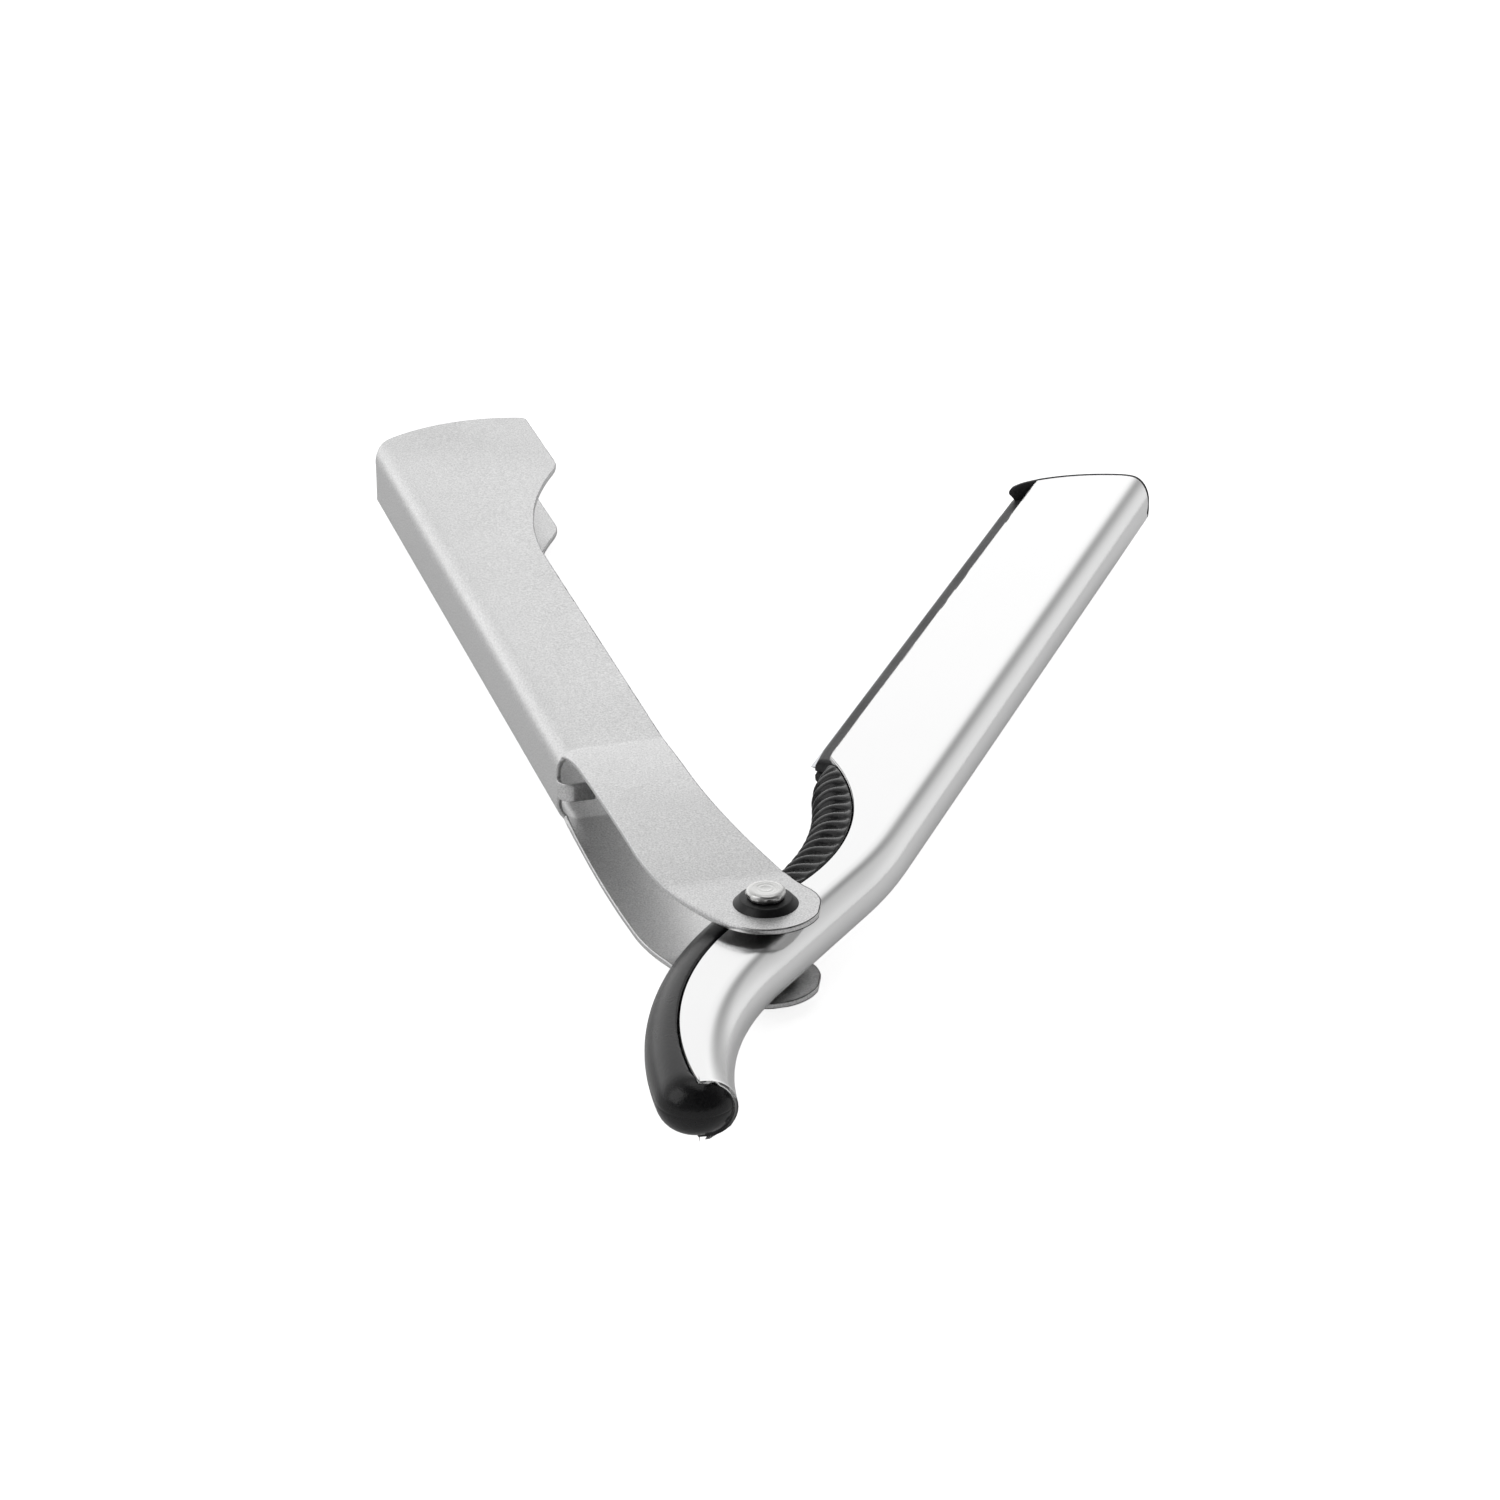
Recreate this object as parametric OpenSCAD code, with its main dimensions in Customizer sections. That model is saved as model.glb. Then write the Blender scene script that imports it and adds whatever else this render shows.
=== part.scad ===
// Replaceable-blade straight razor, lying flat and opened to a V.
// The origin is on the pivot axis, on the flat underside of the lower rivet head.
// +Y runs along the handle to its tail end and +Z along the pivot.
// Each arm is drawn about its own middle plane: X across it, Y along it, from the pivot.

/* [Pose] */
// Angle between the handle and the blade arm at rest
open_angle = 35.1; // [30:0.1:60]

/* [Handle] */
// Thickness of the handle's folded sheet
handle_sheet = 0.5; // [0.4:0.05:0.6]
// Outside thickness of the handle at its fold
handle_thick = 6.4; // [6.3:0.1:7]
// Outside radius of the handle's two fold corners
fold_r = 1.2; // [1:0.1:1.6]
// Angle by which each wall leans out towards the open side
wall_splay = 0.4; // [0:0.1:1.5]
// Distance from the pivot axis to the outside of the fold
handle_back = 9.05; // [9:0.05:9.5]
// Distance from the pivot axis to the shank's open edge
shank_edge = 0.3; // [0:0.1:0.6]
// Distance from the pivot axis to the head's open edge
head_edge = 7.2; // [6:0.1:8]
// Distance from the pivot at which the two leaves begin
leaf_start = 33; // [32.5:0.1:34]
// Outward bow of each leaf at mid-length
leaf_bow = 0.7; // [0.3:0.1:0.9]
// Radius of the leaves' round ends
leaf_end_r = 4.6; // [4.4:0.1:5]
// Height of the tongue left between the two relief notches
tongue_h = 1.7; // [1.2:0.1:2.4]
// Reach of the tongue across the channel
tongue_reach = 2.75; // [2:0.05:2.8]

/* [Pivot] */
// Radius of the rivet's shank
rivet_r = 1; // [0.8:0.05:1.2]
// Largest radius of the rivet's heads
rivet_head_r = 1.67; // [1.5:0.01:1.9]
// Height of each rivet head
rivet_head_h = 0.83; // [0.6:0.01:1]
// Radius of the outer washers at the foot of their cone
washer_foot_r = 3.05; // [2.8:0.05:3.3]
// Radius of the outer washers at the top of their cone
washer_top_r = 2.25; // [2.1:0.05:2.5]
// Height of the outer washers
washer_h = 1.07; // [0.8:0.01:1.3]

/* [Blade arm] */
// Thickness of the shell's folded sheet
shell_sheet = 0.5; // [0.4:0.05:0.5]
// Outside thickness of the shell
shell_thick = 5; // [4.8:0.05:5]
// Distance from the arm's centre line to the outside of the spine
spine_x = 6.92; // [6.6:0.02:7.2]
// Distance from the arm's centre line to the shell's straight edge
wall_edge = 4.46; // [4.3:0.02:4.6]
// Radius of the pivot lobe on each wall
lobe_r = 3.2; // [3:0.1:3.6]

/* [Blade and holder] */
// Length of the razor blade
blade_len = 62; // [58:0.5:62]
// Thickness of the razor blade
blade_thick = 0.25; // [0.1:0.01:0.3]
// Distance from the arm's centre line to the cutting edge
cutting_edge = 6.95; // [6.7:0.05:7.1]
// Distance from the arm's centre line to the holder's lips
lip_edge = 6.45; // [6:0.05:6.5]
// Half the thickness of the holder's lips
lip_half = 1; // [0.7:0.05:1.2]

/* [Hidden] */
$fn = 96;
// number of sides used for the large shallow arcs
fine = 720;
// small overlap between the parts of one outline
eps = 0.01;

// handle
handle_half = handle_thick / 2;
leaf_in = handle_half - handle_sheet;
// the tail end is an arc, the finger notch another
tail_c = [1.3, 97.2];
tail_r = 16.2;
tail_corner_r = 2;
notch_r = 40;
notch_start = 76;
tail_y = tail_c[1] + tail_r;
// the leaves' long edges meet the round end on two large arcs
leaf_back = 8.65;
leaf_end_c = [0, -0.2];
leaf_outer_r = 28;
leaf_outer_c = [leaf_outer_r - leaf_back, 13];
leaf_inner_r = 72;
leaf_inner_c = [leaf_inner_r + shank_edge, 24.9];
leaf_flat = 5;
bow_half = (leaf_start - leaf_flat) / 2;
bow_r = (bow_half * bow_half + leaf_bow * leaf_bow) / (2 * leaf_bow);
tongue_bend_r = 0.9;

// pivot
washer_z = handle_half;
head_z = handle_half + washer_h;
mid_z = head_z + rivet_head_h;
head_flat_r = rivet_head_r - 0.42;
head_neck_r = rivet_head_r - 0.17;
snug = 0.02;
running = 0.05;

// blade arm
shell_half = shell_thick / 2;
shell_in = shell_half - shell_sheet;
wall_reach = 12;
// the spine runs from the toe through a shoulder, a straight slope and a valley to the tail
shoulder_r = 50;
shoulder_y = 18.5;
slope_angle = 9.5644;
slope_len = 16.1;
valley_r = 34;
valley_turn = 38;
wall_lap = 2;
shoulder_c = [spine_x - shoulder_r, shoulder_y];
slope_top = shoulder_c + shoulder_r * [cos(slope_angle), -sin(slope_angle)];
slope_end = slope_top - slope_len * [sin(slope_angle), cos(slope_angle)];
// the wall edges: a finger cut-out and a tang arc that touch behind the pivot
cutout_c = [-24.02, 13.97];
cutout_r = 25.93;
tang_c = [29.61, -8.63];
tang_r = 32.26;
arcs_meet = 3.9;
toe_c = [7, 87.4];
toe_r = 16.3;
toe_corner_r = 3;
tail_cut = [3.66, -27.93];
tail_cut_angle = 27;

// core: its outer edge is a finger arc, a tang arc and a round bulb, each tangent to the next
rest_c = [-34.01, 14.15];
rest_r = 31.77;
back_c = [33.88, -7.39];
back_r = 39.46;
bulb_c = [3.15, -26.54];
bulb_r = 3.24;
rest_low = -17.6;
rest_high = 32.6;
back_high = 162.4;
back_low = 211.9;
bulb_turn = 148;
tail_room = 0.45;
core_end = 31.6;
// the front of the finger rest is cut back to this distance from the centre line
rest_edge = 5.05;
core_half = shell_in - 0.05;
edge_gap = 0.12;

// holder and blade
holder_half = shell_in - 0.1;
holder_start = 32.2;
holder_back = 4.3;
holder_shoulder = 3.4;
blade_start = 33.3;
blade_back = 2;
bevel_len = 0.6;
slot_half = blade_thick / 2 + 0.01;
peg_r = 1.2;
peg_y = [45, 83];
cap_r = 17.05;
cap_gap = 0.05;
nose_edge = 6.6;

// ---------- shared helpers ----------

// Lays a drawing whose Y is height along the arm, from y0 to y1
module along(y0, y1) {
    translate([0, y1, 0]) rotate([90, 0, 0]) linear_extrude(y1 - y0) children();
}

// Both mirror images about the middle plane
module both_sides() {
    children();
    mirror([0, 0, 1]) children();
}

module disc(c, r) translate(c) circle(r, $fn = fine);

// ---------- handle ----------

// Upper half of the channel's cross-section
module channel_half() {
    translate([-handle_back, 0]) square([handle_sheet, handle_half - fold_r]);
    translate([fold_r - handle_back, handle_half - fold_r]) {
        intersection() {
            difference() {
                circle(fold_r);
                circle(fold_r - handle_sheet);
            }
            polygon([[0, 0], [-2 * fold_r, 0], [-2 * fold_r, 2 * fold_r],
                     [-2 * fold_r * sin(wall_splay), 2 * fold_r * cos(wall_splay)]]);
        }
        rotate(wall_splay) translate([0, fold_r - handle_sheet]) square([20, handle_sheet]);
    }
}

// The channel in plan: shank, finger notch, head and curved tail end
module channel_outline() {
    notch_c = [shank_edge + notch_r, notch_start];
    notch_top = notch_start + sqrt(notch_r * notch_r - pow(notch_r - head_edge + shank_edge, 2));
    corner_c = [tail_corner_r - handle_back,
                tail_c[1] + sqrt(pow(tail_r - tail_corner_r, 2)
                                 - pow(tail_corner_r - handle_back - tail_c[0], 2))];
    translate([-handle_back, leaf_start])
        square([handle_back + shank_edge, corner_c[1] - leaf_start]);
    difference() {
        translate([0, notch_start]) square([head_edge, corner_c[1] - notch_start]);
        intersection() {
            disc(notch_c, notch_r);
            translate([-5, notch_start - eps]) square([20, notch_top - notch_start + eps]);
        }
    }
    intersection() {
        disc(tail_c, tail_r);
        translate([corner_c[0], corner_c[1] - eps]) square([head_edge - corner_c[0], 20]);
    }
    translate(corner_c) circle(tail_corner_r);
}

// A leaf in plan, with its round end about the pivot
module leaf_outline() {
    low = leaf_outer_c + leaf_outer_r * (leaf_end_c - leaf_outer_c) / norm(leaf_end_c - leaf_outer_c);
    high = leaf_inner_c + leaf_inner_r * (leaf_end_c - leaf_inner_c) / norm(leaf_end_c - leaf_inner_c);
    translate(leaf_end_c) circle(leaf_end_r);
    difference() {
        intersection() {
            polygon([low, high, [high[0], leaf_start], [-leaf_back, leaf_start], [-leaf_back, low[1]]]);
            union() {
                disc(leaf_outer_c, leaf_outer_r);
                translate([-leaf_back, leaf_outer_c[1]]) square([20, 40]);
            }
        }
        intersection() {
            disc(leaf_inner_c, leaf_inner_r);
            translate([shank_edge, -5]) square([20, leaf_inner_c[1] + 5]);
        }
        translate([shank_edge, leaf_inner_c[1]]) square([20, 40]);
    }
}

// Side view of the upper leaf: flat about the pivot, then bowed outwards to the channel
module leaf_profile() {
    translate([-leaf_end_r - 1, leaf_in]) square([leaf_flat + leaf_end_r + 1, handle_sheet]);
    intersection() {
        translate([leaf_flat + bow_half, handle_half + leaf_bow - bow_r]) difference() {
            circle(bow_r, $fn = fine * 2);
            circle(bow_r - handle_sheet, $fn = fine * 2);
        }
        translate([leaf_flat, 0]) square([2 * bow_half, handle_half + 2]);
    }
}

module leaf() {
    difference() {
        intersection() {
            translate([-15, 0, 0]) rotate([90, 0, 90]) linear_extrude(30) leaf_profile();
            linear_extrude(10) leaf_outline();
        }
        cylinder(r = rivet_r + snug, h = 10);
    }
}

// The tongue between the notches, curled in from the spine to face the pivot
module tongue() {
    translate([0, 0, -tongue_h / 2]) linear_extrude(tongue_h) {
        translate([tongue_bend_r - handle_back, leaf_start + 0.2]) {
            intersection() {
                difference() {
                    circle(tongue_bend_r);
                    circle(tongue_bend_r - handle_sheet);
                }
                translate([-tongue_bend_r, -tongue_bend_r]) square(tongue_bend_r);
            }
            translate([0, -tongue_bend_r]) square([tongue_reach - tongue_bend_r, handle_sheet]);
        }
    }
}

module handle() {
    color([0.72, 0.72, 0.71]) translate([0, 0, mid_z]) {
        intersection() {
            along(leaf_start, tail_y) {
                channel_half();
                mirror([0, 1]) channel_half();
            }
            translate([0, 0, -8]) linear_extrude(16) channel_outline();
        }
        both_sides() leaf();
        tongue();
    }
}

// ---------- pivot ----------

// Upper half of the rivet: half the shank and the head formed over the washer
module rivet_half() {
    rotate_extrude() {
        square([rivet_r, head_z + 0.2]);
        polygon([[0, head_z], [head_neck_r, head_z], [rivet_head_r, head_z + 0.3 * rivet_head_h],
                 [rivet_head_r, head_z + 0.62 * rivet_head_h],
                 [(rivet_head_r + head_flat_r) / 2, head_z + 0.92 * rivet_head_h],
                 [head_flat_r, mid_z], [0, mid_z]]);
    }
}

module pivot_rivet() {
    color([0.85, 0.85, 0.84]) translate([0, 0, mid_z]) both_sides() rivet_half();
}

// Conical washer that stands on a leaf, with a low upright rim at its foot
module outer_washer() {
    foot = 0.2;
    rotate_extrude() difference() {
        polygon([[0, washer_z], [washer_foot_r, washer_z], [washer_foot_r, washer_z + foot],
                 [washer_top_r, head_z], [0, head_z]]);
        square([rivet_r + snug, head_z + 1]);
    }
}

module upper_outer_washer() {
    color([0.1, 0.1, 0.1]) translate([0, 0, mid_z]) outer_washer();
}

module lower_outer_washer() {
    color([0.1, 0.1, 0.1]) translate([0, 0, mid_z]) mirror([0, 0, 1]) outer_washer();
}

// Thin washer between a leaf and the shell's wall
module inner_washer() {
    translate([0, 0, shell_half]) difference() {
        cylinder(r = lobe_r - 0.4, h = leaf_in - shell_half);
        translate([0, 0, -1]) cylinder(r = rivet_r + snug, h = 3);
    }
}

module upper_inner_washer() {
    color([0.15, 0.15, 0.15]) translate([0, 0, mid_z]) inner_washer();
}

module lower_inner_washer() {
    color([0.15, 0.15, 0.15]) translate([0, 0, mid_z]) mirror([0, 0, 1]) inner_washer();
}

// ---------- blade arm ----------

// Puts a piece of the blade arm at its rest angle
module blade_arm() {
    translate([0, 0, mid_z]) rotate(-open_angle) children();
}

// A half-round of radius r whose outermost point is at the origin, backed by a strip
module round_strip(r, reach) {
    translate([-r, 0]) circle(r);
    translate([-reach, -r]) square([reach - r, 2 * r]);
}

// Cross-section of the folded shell, spine at the origin, walls towards -X
module shell_section() {
    difference() {
        round_strip(shell_half, wall_reach);
        translate([-shell_sheet, 0]) round_strip(shell_in, wall_reach);
    }
}

// Moves to the top of the slope and turns so that the slope runs along -Y
module on_slope() {
    translate(shoulder_c) rotate(-slope_angle) translate([shoulder_r, 0, 0]) children();
}

// Carries a section round the valley, which begins at the foot of the slope
module along_valley(from, to) {
    translate([valley_r, -slope_len, 0])
        rotate_extrude(start = 180 + from, angle = to - from, $fn = fine)
        translate([valley_r, 0]) mirror([1, 0]) children();
}

// The folded section carried along the spine's whole course
module shell_fold() {
    translate([spine_x, 0, 0]) along(shoulder_y, toe_c[1] + cap_r + 1) shell_section();
    translate(shoulder_c) rotate_extrude(start = -slope_angle, angle = slope_angle, $fn = fine)
        translate([shoulder_r, 0]) shell_section();
    on_slope() {
        along(-slope_len, 0) shell_section();
        along_valley(0, valley_turn) shell_section();
    }
    // the flat of each wall runs unbroken from the shoulder to the slope
    both_sides() translate([0, slope_top[1] - wall_lap, shell_in])
        cube([slope_top[0] - shell_half - 0.05, 2 * wall_lap, shell_sheet]);
}

// The toe in plan, inside an arc of radius r and a rounded corner at the spine
module toe_outline(r) {
    corner_c = [spine_x - toe_corner_r,
                toe_c[1] + sqrt(pow(r - toe_corner_r, 2) - pow(spine_x - toe_corner_r - toe_c[0], 2))];
    touch = toe_c + r * (corner_c - toe_c) / (r - toe_corner_r);
    difference() {
        disc(toe_c, r);
        translate([touch[0], corner_c[1]]) square(30);
    }
    translate([-30, -60]) square([60, 60 + toe_c[1]]);
    translate(corner_c) circle(toe_corner_r);
}

// The walls in plan; grow widens every edge that faces the core
module wall_outline(grow = 0) {
    difference() {
        intersection() {
            union() {
                difference() {
                    translate([-wall_edge - grow, arcs_meet]) square([20, 110]);
                    disc(cutout_c, cutout_r - grow);
                }
                intersection() {
                    translate([-8, -40]) square([25, 40 + arcs_meet]);
                    disc(tang_c, tang_r + grow);
                }
                circle(lobe_r + grow);
            }
            toe_outline(toe_r);
        }
        translate(tail_cut) rotate(tail_cut_angle) translate([-20, -20 - grow]) square([40, 20]);
    }
}

module blade_shell() {
    color([0.9, 0.9, 0.9]) blade_arm() difference() {
        intersection() {
            shell_fold();
            translate([0, 0, -4]) linear_extrude(8) wall_outline();
        }
        translate([0, 0, -4]) cylinder(r = rivet_r + running, h = 8);
    }
}

// Plan of the core's inside filling, clear of the rounded edges and of the spine
module filling_outline() {
    right = spine_x - shell_half - 0.1;
    intersection() {
        union() {
            difference() {
                translate([-6, arcs_meet]) square([20, core_end - arcs_meet]);
                disc(rest_c, rest_r + shell_half - 0.1);
            }
            intersection() {
                translate([-8, -24]) square([25, 24 + arcs_meet]);
                disc(back_c, back_r - shell_half + 0.1);
            }
        }
        polygon([[right, core_end], [right, shoulder_y], [slope_top[0] - 2.7, slope_top[1]],
                 [slope_end[0] - 2.7, slope_end[1]], [slope_end[0] - 2.7, -17], [3, -24],
                 [-8, -24], [-8, core_end]]);
    }
}

// Height in plan of the shell's tail end at x, less the gap to the core
function tail_line(x) = tail_cut[1] - edge_gap + (x - tail_cut[0]) * tan(tail_cut_angle);

// One piece of black plastic: finger rest, drawn without its ribs, tang filling and tail bulb
module tang_core() {
    color([0.08, 0.08, 0.08]) blade_arm() difference() {
        union() {
            intersection() {
                translate(rest_c) rotate(rest_low)
                    rotate_extrude(angle = rest_high - rest_low, $fn = fine)
                    translate([rest_r, 0]) mirror([1, 0]) round_strip(shell_half, 6);
                translate([-rest_edge, 0, -4]) cube([20, core_end, 8]);
            }
            translate(back_c) rotate(back_high)
                rotate_extrude(angle = back_low - back_high, $fn = fine)
                translate([back_r, 0]) round_strip(shell_half, 5);
            translate(bulb_c) rotate(back_low) rotate_extrude(angle = bulb_turn) intersection() {
                translate([bulb_r, 0]) round_strip(shell_half, bulb_r + 1);
                translate([0, -shell_half]) square([bulb_r, shell_thick]);
            }
            translate([0, 0, -core_half]) linear_extrude(2 * core_half) {
                filling_outline();
                translate(bulb_c) circle(bulb_r - 1);
            }
        }
        both_sides() translate([0, 0, core_half]) linear_extrude(2) wall_outline(edge_gap);
        // room for the shell's tail end
        translate([0, 0, -4]) linear_extrude(8) polygon([
            [tail_cut[0] - tail_room, tail_line(tail_cut[0] - tail_room)],
            [tail_cut[0] + 6, tail_line(tail_cut[0] + 6)],
            [tail_cut[0] + 6, tail_cut[1] + 12], [tail_cut[0] - tail_room, tail_cut[1] + 12]]);
        translate([0, 0, -4]) cylinder(r = rivet_r + running, h = 8);
    }
}

// Cross-section of the holder: two lips and a body, slotted for the blade
module holder_section() {
    difference() {
        union() {
            translate([-lip_edge, -lip_half]) square([lip_edge, 2 * lip_half]);
            translate([-holder_shoulder, -holder_half])
                square([holder_shoulder + holder_back, 2 * holder_half]);
        }
        translate([-lip_edge - 1, -slot_half]) square([lip_edge + 1 + blade_back + 0.1, 2 * slot_half]);
    }
}

// Slides out at the toe; its end cap closes the shell and ends in a small nose
module blade_holder() {
    cap_reach = spine_x - shell_half;
    color([0.08, 0.08, 0.08]) blade_arm() {
        intersection() {
            along(holder_start, toe_c[1] + toe_r) holder_section();
            translate([0, 0, -4]) linear_extrude(8) intersection() {
                disc(toe_c, cap_r - 0.3);
                translate([-20, toe_c[1]]) square([40, 40]);
            }
        }
        along(holder_start, toe_c[1]) holder_section();
        // end cap
        intersection() {
            translate([0, 0, -4]) linear_extrude(8) difference() {
                toe_outline(cap_r);
                disc(toe_c, toe_r + cap_gap);
                translate([-40, -60]) square([80, 60 + toe_c[1] + 2]);
                translate([-40, 0]) square([40 - nose_edge, 200]);
            }
            along(0, 120) translate([cap_reach, 0]) {
                circle(shell_half);
                translate([-15, -shell_half]) square([15, shell_thick]);
            }
        }
        for (y = peg_y) translate([0, y, -slot_half - 0.2]) cylinder(r = peg_r, h = 2 * slot_half + 0.4);
    }
}

// Bevelled single-edge blade with two locating holes
module razor_blade() {
    half = blade_thick / 2;
    color([0.75, 0.75, 0.77]) blade_arm() difference() {
        along(blade_start, blade_start + blade_len)
            polygon([[-cutting_edge, 0], [bevel_len - cutting_edge, -half], [blade_back, -half],
                     [blade_back, half], [bevel_len - cutting_edge, half]]);
        for (y = peg_y) translate([0, y, -1]) cylinder(r = peg_r + running, h = 2);
    }
}

handle();
pivot_rivet();
upper_outer_washer();
lower_outer_washer();
upper_inner_washer();
lower_inner_washer();
blade_shell();
tang_core();
blade_holder();
razor_blade();
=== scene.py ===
from math import sin, cos, tan, radians, sqrt, atan2, acos, pi, hypot
import bpy
from mathutils import Vector, Matrix


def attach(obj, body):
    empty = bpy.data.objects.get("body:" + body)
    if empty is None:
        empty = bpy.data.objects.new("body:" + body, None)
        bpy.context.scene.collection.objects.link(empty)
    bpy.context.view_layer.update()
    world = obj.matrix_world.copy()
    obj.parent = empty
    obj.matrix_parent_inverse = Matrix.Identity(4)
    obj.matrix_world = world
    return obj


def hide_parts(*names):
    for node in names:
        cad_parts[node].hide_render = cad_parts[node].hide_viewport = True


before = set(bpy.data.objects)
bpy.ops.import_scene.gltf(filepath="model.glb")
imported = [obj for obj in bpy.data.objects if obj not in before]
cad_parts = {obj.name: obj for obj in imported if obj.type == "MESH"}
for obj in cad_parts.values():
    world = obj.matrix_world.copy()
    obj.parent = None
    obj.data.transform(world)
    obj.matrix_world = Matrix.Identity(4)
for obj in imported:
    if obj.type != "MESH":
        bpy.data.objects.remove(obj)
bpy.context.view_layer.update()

# lengths in this script are millimetres until a mesh is made
mm = 0.001
midHeight = 5.1        # middle plane of both arms above the rest face
openAngle = 35.1       # blade arm's angle from the handle at rest


# small maths helpers

def lerp(a, b, t):
    return a + (b - a) * t


def onArc(centre, r, deg):
    return (centre[0] + r * cos(radians(deg)), centre[1] + r * sin(radians(deg)))


def softMin(a, b, k):
    h = max(k - abs(a - b), 0.0) / k
    return min(a, b) - h * h * k / 4


def bisect(inside, lo, hi, steps=26):
    # inside(lo) is true and inside(hi) is false
    for _ in range(steps):
        mid = (lo + hi) / 2
        if inside(mid):
            lo = mid
        else:
            hi = mid
    return (lo + hi) / 2


# mesh helpers

def makePiece(name, verts, faces, body, material, arm=False):
    mesh = bpy.data.meshes.new(name)
    turn = Matrix.Rotation(radians(-openAngle), 3, 'Z') if arm else Matrix.Identity(3)
    placed = [(turn @ Vector(v)) + Vector((0, 0, midHeight)) for v in verts]
    mesh.from_pydata([tuple(v * mm) for v in placed], [], faces)
    mesh.validate()
    mesh.update()
    mesh.shade_smooth()
    mesh.materials.append(material)
    piece = bpy.data.objects.new(name, mesh)
    bpy.context.scene.collection.objects.link(piece)
    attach(piece, body)
    weigh = piece.modifiers.new("evenShading", 'WEIGHTED_NORMAL')
    weigh.mode = 'FACE_AREA'
    weigh.weight = 60
    return piece


def thicken(verts, faces, thick, edge):
    # turns one skin into a sheet of the given thickness behind it, with small rounded edges
    points = [Vector(v) for v in verts]
    normals = [Vector((0, 0, 0)) for _ in points]
    owners = {}
    for f in faces:
        n = Vector((0, 0, 0))
        for i in range(len(f)):
            a, b = points[f[i]], points[f[(i + 1) % len(f)]]
            n += a.cross(b)
            owners.setdefault((f[i], f[(i + 1) % len(f)]), n)
        for i in f:
            normals[i] += n.normalized() if n.length > 0 else n
    normals = [n.normalized() for n in normals]
    rim = [e for e in owners if (e[1], e[0]) not in owners]
    inward = {}
    for a, b in rim:
        along = points[b] - points[a]
        if along.length < 1e-9:
            continue
        for v in (a, b):
            inward[v] = inward.get(v, Vector((0, 0, 0))) + normals[v].cross(along.normalized())
    for v in inward:
        inward[v] = inward[v].normalized()
    # each ring is (share of the edge radius inwards, depth)
    rings = [(1.0, 0.0), (0.3, 0.3 * edge), (0.0, edge), (0.0, thick - edge),
             (0.3, thick - 0.3 * edge), (1.0, thick)]
    out = []
    front, back, ringAt = {}, {}, {}
    for i, p in enumerate(points):
        if i in inward:
            ringAt[i] = []
            for share, depth in rings:
                ringAt[i].append(len(out))
                out.append(p + inward[i] * (edge * share) - normals[i] * depth)
            front[i], back[i] = ringAt[i][0], ringAt[i][-1]
        else:
            front[i] = len(out)
            out.append(p)
            back[i] = len(out)
            out.append(p - normals[i] * thick)
    skin = [[front[i] for i in f] for f in faces] + [[back[i] for i in reversed(f)] for f in faces]
    for a, b in rim:
        if a in ringAt and b in ringAt:
            for k in range(len(rings) - 1):
                skin.append([ringAt[b][k], ringAt[a][k], ringAt[a][k + 1], ringAt[b][k + 1]])
    return [tuple(v) for v in out], skin


def gridFaces(rows, cols, at):
    faces = []
    for i in range(rows - 1):
        for j in range(cols - 1):
            quad = [at(i, j), at(i, j + 1), at(i + 1, j + 1), at(i + 1, j)]
            if None in quad:
                continue
            faces.append(quad)
    return faces


def lathe(profile, steps=128):
    # profile: (radius, height) from the axis outwards and back to the axis
    verts, faces = [], []
    for r, z in profile:
        for k in range(steps):
            a = 2 * pi * k / steps
            verts.append((r * cos(a), r * sin(a), z))
    for i in range(len(profile) - 1):
        for k in range(steps):
            n = (k + 1) % steps
            faces.append([i * steps + k, i * steps + n, (i + 1) * steps + n, (i + 1) * steps + k])
    return verts, faces


# shader groups

def newGroup(name, inputs, outputs):
    group = bpy.data.node_groups.new(name, 'ShaderNodeTree')
    for label, kind, value in inputs:
        s = group.interface.new_socket(name=label, in_out='INPUT', socket_type=kind)
        if value is not None:
            s.default_value = value
    for label, kind in outputs:
        group.interface.new_socket(name=label, in_out='OUTPUT', socket_type=kind)
    return group, group.nodes.new('NodeGroupInput'), group.nodes.new('NodeGroupOutput')


def mathNode(tree, kind, a, b=None, c=None, clamp=False):
    n = tree.nodes.new('ShaderNodeMath')
    n.operation = kind
    n.use_clamp = clamp
    for k, v in enumerate((a, b, c)):
        if v is None:
            continue
        if isinstance(v, (int, float)):
            n.inputs[k].default_value = v
        else:
            tree.links.new(v, n.inputs[k])
    return n.outputs[0]


def noiseNode(tree, vector, scale, detail=3.0, rough=0.55):
    n = tree.nodes.new('ShaderNodeTexNoise')
    n.inputs['Detail'].default_value = detail
    n.inputs['Roughness'].default_value = rough
    tree.links.new(vector, n.inputs['Vector'])
    if isinstance(scale, (int, float)):
        n.inputs['Scale'].default_value = scale
    else:
        tree.links.new(scale, n.inputs['Scale'])
    return n.outputs['Fac']


# blasted or moulded grain: a height, and a value from 0 to 1 for tint
grainGroup, gIn, gOut = newGroup("fineGrain", [
    ("Vector", 'NodeSocketVector', None), ("Scale", 'NodeSocketFloat', 4000.0),
    ("Coarse Scale", 'NodeSocketFloat', 300.0), ("Coarse Share", 'NodeSocketFloat', 0.3)],
    [("Height", 'NodeSocketFloat'), ("Speckle", 'NodeSocketFloat')])
fineNoise = noiseNode(grainGroup, gIn.outputs["Vector"], gIn.outputs["Scale"], 2.0, 0.6)
coarseNoise = noiseNode(grainGroup, gIn.outputs["Vector"], gIn.outputs["Coarse Scale"], 4.0, 0.5)
blend = grainGroup.nodes.new('ShaderNodeMix')
grainGroup.links.new(gIn.outputs["Coarse Share"], blend.inputs[0])
grainGroup.links.new(fineNoise, blend.inputs[2])
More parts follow.
